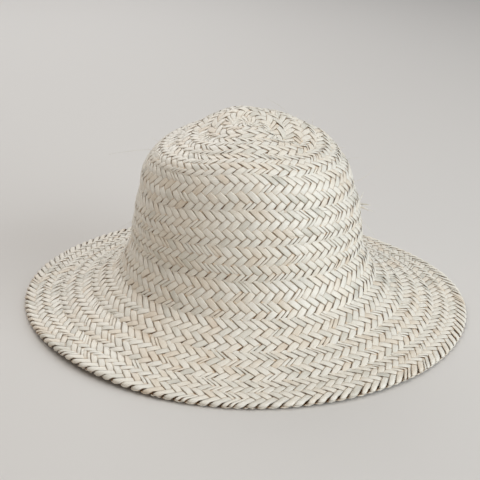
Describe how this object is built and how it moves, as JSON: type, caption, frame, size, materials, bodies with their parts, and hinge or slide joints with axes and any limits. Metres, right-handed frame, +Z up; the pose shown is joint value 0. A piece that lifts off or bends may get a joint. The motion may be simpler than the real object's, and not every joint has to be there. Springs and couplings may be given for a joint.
{
  "type": "plaited palm-leaf sun hat",
  "caption": "Round sun hat of hand-plaited palm leaf: a tall tapering crown with a low domed top, flaring into a flat brim, plain with no band or ribbon.",
  "frame": {"origin": "on the ground below the middle of the crown, where the brim's edge rests", "axes": "+Z up through the crown, -Y towards the wearer's front, +X to the right of someone who looks at the front"},
  "size_m": [0.3605, 0.3606, 0.148],
  "materials": {
    "palm_plait": "dry palm leaf, plaited, pale ivory with a faint gloss",
    "lacing_fibre": "twisted palm fibre, matt tan"
  },
  "bodies": {
    "root": {"crown_button": "palm_plait", "crown_top_round_1": "palm_plait", "crown_top_round_2": "palm_plait", "crown_shoulder_round": "palm_plait", "crown_wall_round_1": "palm_plait", "crown_wall_round_2": "palm_plait", "crown_wall_round_3": "palm_plait", "brim_root_round": "palm_plait", "brim_round_1": "palm_plait", "brim_round_2": "palm_plait", "brim_edge_round": "palm_plait", "lacing_cord_01": "lacing_fibre", "lacing_cord_02": "lacing_fibre", "lacing_cord_03": "lacing_fibre", "lacing_cord_04": "lacing_fibre", "lacing_cord_05": "lacing_fibre", "lacing_cord_06": "lacing_fibre", "lacing_cord_07": "lacing_fibre", "lacing_cord_08": "lacing_fibre", "lacing_cord_09": "lacing_fibre", "lacing_cord_10": "lacing_fibre", "plait_tail": "palm_plait", "tail_stitches": "lacing_fibre"}
  },
  "joints": []
}
